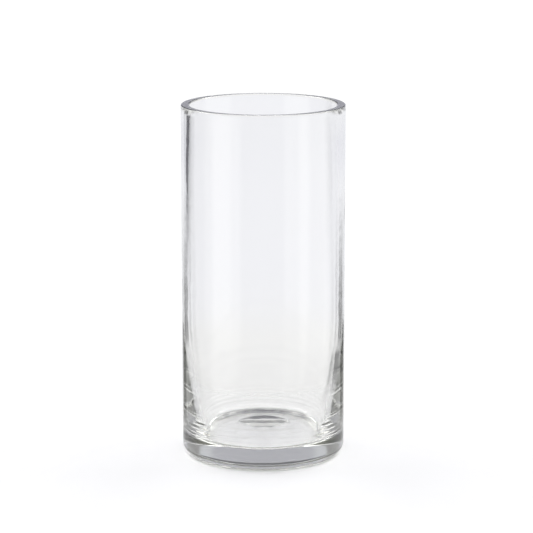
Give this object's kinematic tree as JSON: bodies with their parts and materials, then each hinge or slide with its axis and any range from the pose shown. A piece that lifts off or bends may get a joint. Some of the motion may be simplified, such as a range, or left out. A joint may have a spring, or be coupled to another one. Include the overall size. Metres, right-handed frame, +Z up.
{
  "type": "glass cylinder vase",
  "caption": "Clear glass cylinder vase with an open top, a thick wall that thickens towards a heavy rounded base, and a flat softened rim.",
  "frame": {"origin": "centre of the foot, on the surface that the vase stands on", "axes": "+Z up along the vase's axis, towards its open mouth; the vase is round, so +X and +Y are free"},
  "size_m": [0.115, 0.115, 0.25],
  "materials": {
    "clear_glass": "clear, smooth and glossy, with a faint grey-green tint where the glass is thick"
  },
  "bodies": {
    "root": {"vase_body": "clear_glass"}
  },
  "joints": []
}
